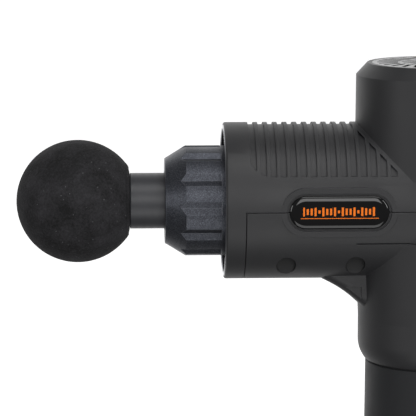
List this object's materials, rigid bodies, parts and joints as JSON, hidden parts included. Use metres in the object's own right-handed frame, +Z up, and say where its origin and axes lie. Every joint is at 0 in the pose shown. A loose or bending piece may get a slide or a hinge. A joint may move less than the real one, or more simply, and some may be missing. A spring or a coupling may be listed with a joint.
{
  "type": "massage gun",
  "caption": "Cordless percussive massager: horizontal grooved barrel, fluted nose with a foam ball head on a plunger, upright motor housing and battery grip.",
  "frame": {"origin": "centre of the flat base of the grip, where the gun stands", "axes": "+Z up along the grip and the motor, -X forward to the massage head, +Y to the gun's right side"},
  "size_m": [0.2026, 0.065, 0.2414],
  "materials": {
    "upper_shell": "moulded black plastic, fine grain",
    "left_lower_shell": "moulded black plastic, fine grain",
    "right_lower_shell": "moulded black plastic, fine grain",
    "badge_left": "domed gloss black with an orange pulse line",
    "badge_right": "domed gloss black with an orange pulse line",
    "shell_screws": "black oxide steel",
    "screw_plugs": "soft black rubber",
    "front_trim_ring": "polished chrome",
    "nose_collar": "bead-blasted, dark anodised aluminium",
    "front_damping_ring": "black rubber",
    "top_vent_cap": "moulded black plastic",
    "vent_centre_plug": "satin chrome",
    "vent_dust_filter": "woven dust mesh",
    "drive_frame": "die-cast aluminium",
    "rail_isolators": "soft rubber",
    "lower_motor_bearing": "ground bearing steel",
    "upper_motor_bearing": "ground bearing steel",
    "motor_stator": "varnished laminations",
    "motor_windings": "enamelled copper wire",
    "motor_shaft": "ground steel",
    "rotor_can": "black zinc-coated steel",
    "rotor_magnets": "nickel-plated magnets",
    "cooling_fan": "moulded black nylon",
    "eccentric": "machined steel",
    "crank_pin": "hardened steel",
    "big_end_bearing": "ground bearing steel",
    "connecting_rod": "machined aluminium",
    "small_end_bush": "sintered bronze",
    "wrist_pin": "hardened steel",
    "piston": "hard-anodised aluminium",
    "guide_sleeve": "filled acetal",
    "wiper_seal": "black nitrile",
    "head_stem": "satin black nylon",
    "head_o_ring": "silicone",
    "head_ball": "closed-cell foam, fine open skin",
    "control_panel": "gloss black lens plate",
    "display_module": "dark display window",
    "power_button": "satin black plastic",
    "plus_button": "satin black plastic",
    "minus_button": "satin black plastic",
    "button_domes": "translucent silicone",
    "control_board": "green circuit board",
    "handle_core": "glass-filled nylon",
    "grip_sleeve": "soft-touch silicone",
    "base_cap": "moulded black plastic",
    "base_cap_screws": "black oxide steel",
    "rocker_switch_body": "black switch housing",
    "rocker_switch_paddle": "black rocker",
    "charge_jack_shell": "black socket body",
    "charge_jack_pin": "nickel-plated contact",
    "battery_cells": "shrink-wrapped steel cells",
    "battery_holders": "black nylon",
    "nickel_strips": "nickel strip",
    "battery_board": "green circuit board",
    "main_board": "green circuit board",
    "battery_leads": "silicone-insulated wire"
  },
  "bodies": {
    "casing": {"upper_shell": "upper_shell", "left_lower_shell": "left_lower_shell", "right_lower_shell": "right_lower_shell", "badge_left": "badge_left", "badge_right": "badge_right", "shell_screws": "shell_screws", "screw_plugs": "screw_plugs", "front_trim_ring": "front_trim_ring", "nose_collar": "nose_collar", "front_damping_ring": "front_damping_ring", "top_vent_cap": "top_vent_cap", "vent_centre_plug": "vent_centre_plug", "vent_dust_filter": "vent_dust_filter", "drive_frame": "drive_frame", "rail_isolators": "rail_isolators", "lower_motor_bearing": "lower_motor_bearing", "upper_motor_bearing": "upper_motor_bearing", "motor_stator": "motor_stator", "motor_windings": "motor_windings", "guide_sleeve": "guide_sleeve", "wiper_seal": "wiper_seal", "control_panel": "control_panel", "display_module": "display_module", "button_domes": "button_domes", "control_board": "control_board", "handle_core": "handle_core", "grip_sleeve": "grip_sleeve", "base_cap": "base_cap", "base_cap_screws": "base_cap_screws", "rocker_switch_body": "rocker_switch_body", "charge_jack_shell": "charge_jack_shell", "charge_jack_pin": "charge_jack_pin", "battery_cells": "battery_cells", "battery_holders": "battery_holders", "nickel_strips": "nickel_strips", "battery_board": "battery_board", "main_board": "main_board", "battery_leads": "battery_leads"},
    "piston": {"piston": "piston", "wrist_pin": "wrist_pin"},
    "rod": {"connecting_rod": "connecting_rod", "big_end_bearing": "big_end_bearing", "crank_pin": "crank_pin", "small_end_bush": "small_end_bush"},
    "rotor": {"motor_shaft": "motor_shaft", "rotor_can": "rotor_can", "rotor_magnets": "rotor_magnets", "cooling_fan": "cooling_fan", "eccentric": "eccentric"},
    "head": {"head_stem": "head_stem", "head_ball": "head_ball", "head_o_ring": "head_o_ring"},
    "power_button": {"power_button": "power_button"},
    "plus_button": {"plus_button": "plus_button"},
    "minus_button": {"minus_button": "minus_button"},
    "rocker": {"rocker_switch_paddle": "rocker_switch_paddle"}
  },
  "joints": [
    {"name": "piston_slide", "type": "slide", "parent": "casing", "child": "piston", "axis": [-1, 0, 0], "range_m": [0, 0.012]},
    {"name": "rod_swing", "type": "hinge", "parent": "piston", "child": "rod", "pos_m": [-0.034, 0, 0.185], "axis": [0, 0, 1], "range_deg": [-8.6, 8.6]},
    {"name": "rotor_spin", "type": "hinge", "parent": "casing", "child": "rotor", "pos_m": [0, 0, 0.185], "axis": [0, 0, 1], "continuous": true},
    {"name": "head_pull", "type": "slide", "parent": "piston", "child": "head", "axis": [-1, 0, 0], "range_m": [0, 0.045]},
    {"name": "power_button_press", "type": "slide", "parent": "casing", "child": "power_button", "axis": [-1, 0, 0], "range_m": [0, 0.0008], "stiffness_N_per_m": 2000},
    {"name": "plus_button_press", "type": "slide", "parent": "casing", "child": "plus_button", "axis": [-1, 0, 0], "range_m": [0, 0.0008], "stiffness_N_per_m": 2000},
    {"name": "minus_button_press", "type": "slide", "parent": "casing", "child": "minus_button", "axis": [-1, 0, 0], "range_m": [0, 0.0008], "stiffness_N_per_m": 2000},
    {"name": "rocker_tilt", "type": "hinge", "parent": "casing", "child": "rocker", "pos_m": [0.024, 0, 0.0214], "axis": [0, 1, 0], "range_deg": [0, 14]}
  ],
  "couplings": [
    {"joint": "rotor_spin", "follows": "piston_slide", "rad_per_m": 261.8}
  ]
}
